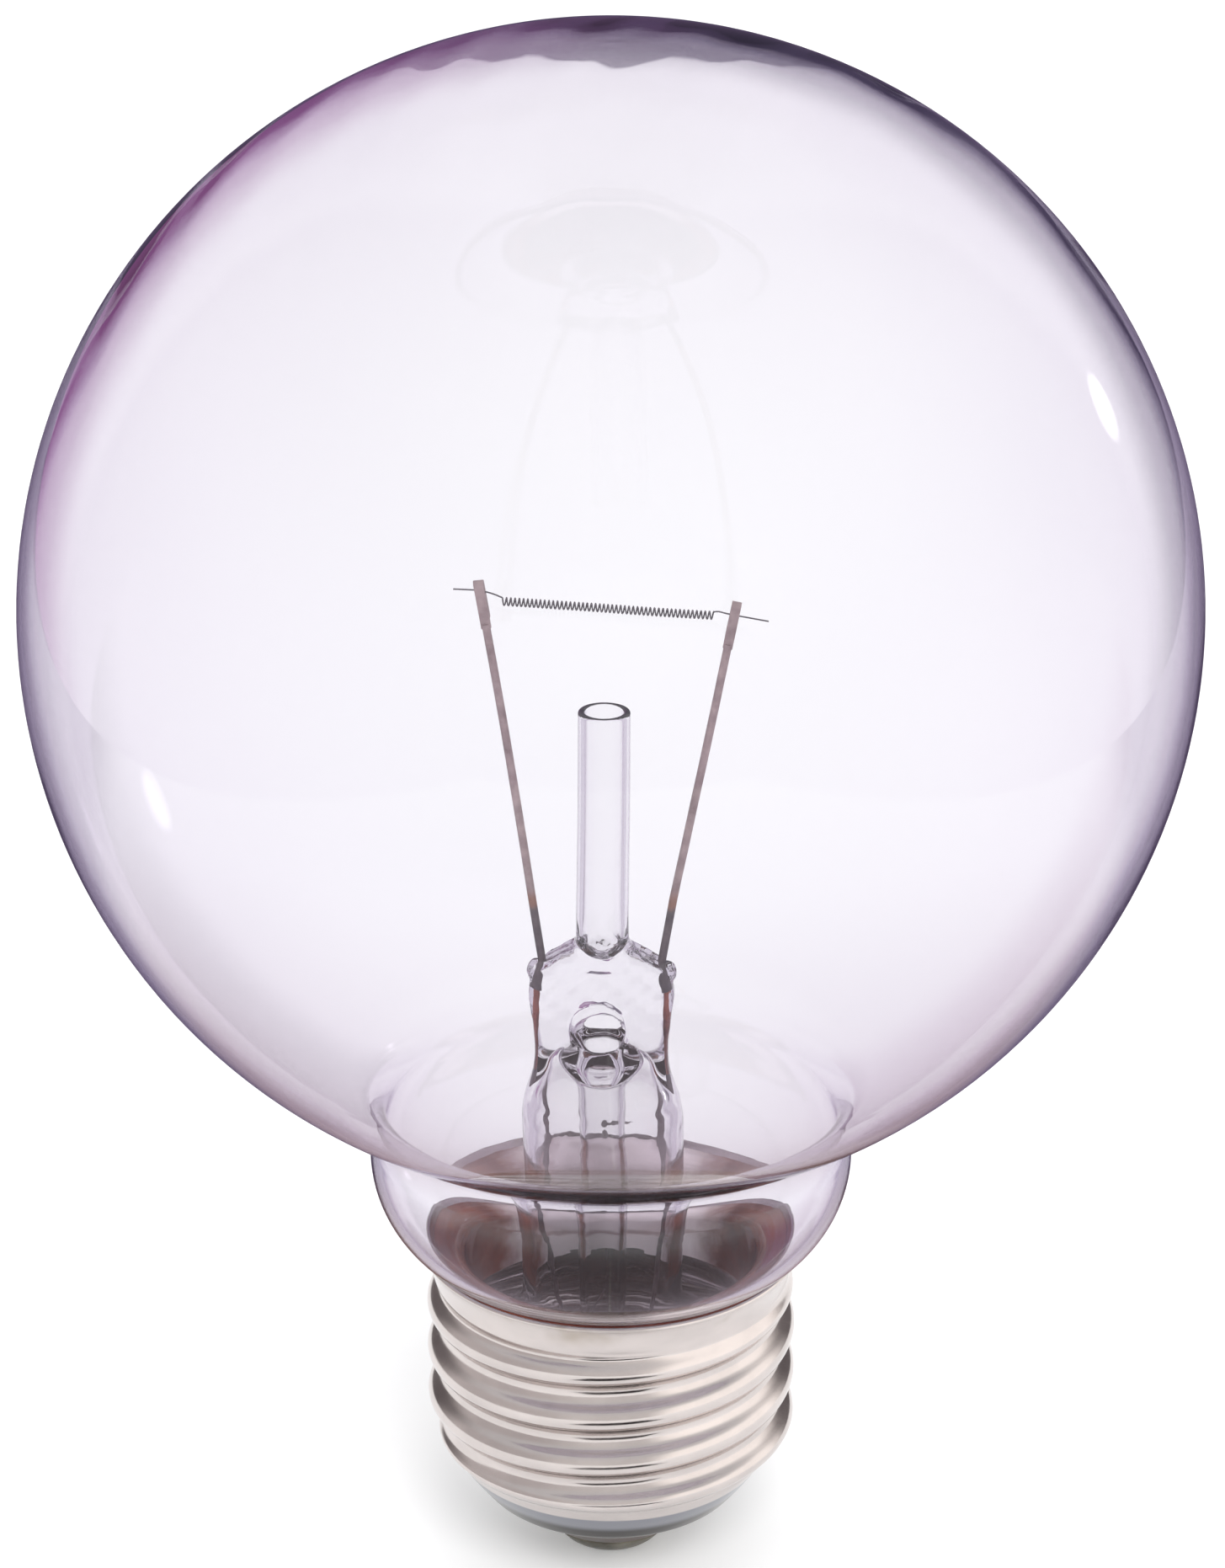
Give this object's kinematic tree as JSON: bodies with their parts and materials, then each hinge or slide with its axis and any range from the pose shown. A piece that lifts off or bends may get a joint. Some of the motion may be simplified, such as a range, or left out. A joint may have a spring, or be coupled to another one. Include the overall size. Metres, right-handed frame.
{
  "type": "globe bulb",
  "caption": "Clear globe lamp with a round blown glass bulb, a pressed glass stem, a coiled filament between two lead wires and a threaded metal screw base.",
  "frame": {"origin": "tip of the centre contact, on the lamp's axis", "axes": "+Z along the lamp's axis from the contact to the crown of the globe; the press's broad side with the blow hole faces -Y"},
  "size_m": [0.0794, 0.0794, 0.1119],
  "materials": {
    "bulb_glass": "clear blown glass with a faint lilac tint",
    "stem_glass": "clear pressed and drawn glass",
    "lead_wire": "dull nickel wire with a brown oxide",
    "seal_wire": "copper-clad wire",
    "filament_wire": "drawn tungsten wire",
    "cap_metal": "rolled bright sheet, lightly rubbed",
    "cement": "brown baked resin cement",
    "insulator_glass": "black moulded glass",
    "contact_metal": "tinned brass, dull",
    "solder": "dull solder"
  },
  "bodies": {
    "root": {"globe_envelope": "bulb_glass", "stem_flare": "stem_glass", "arbor_tube": "stem_glass", "exhaust_tube": "stem_glass", "left_inner_lead": "lead_wire", "right_inner_lead": "lead_wire", "left_seal_wire": "seal_wire", "right_seal_wire": "seal_wire", "side_lead": "lead_wire", "centre_lead": "lead_wire", "filament": "filament_wire", "screw_shell": "cap_metal", "basing_cement": "cement", "base_insulator": "insulator_glass", "contact_eyelet": "contact_metal", "contact_solder": "solder", "side_solder": "solder"}
  },
  "joints": []
}
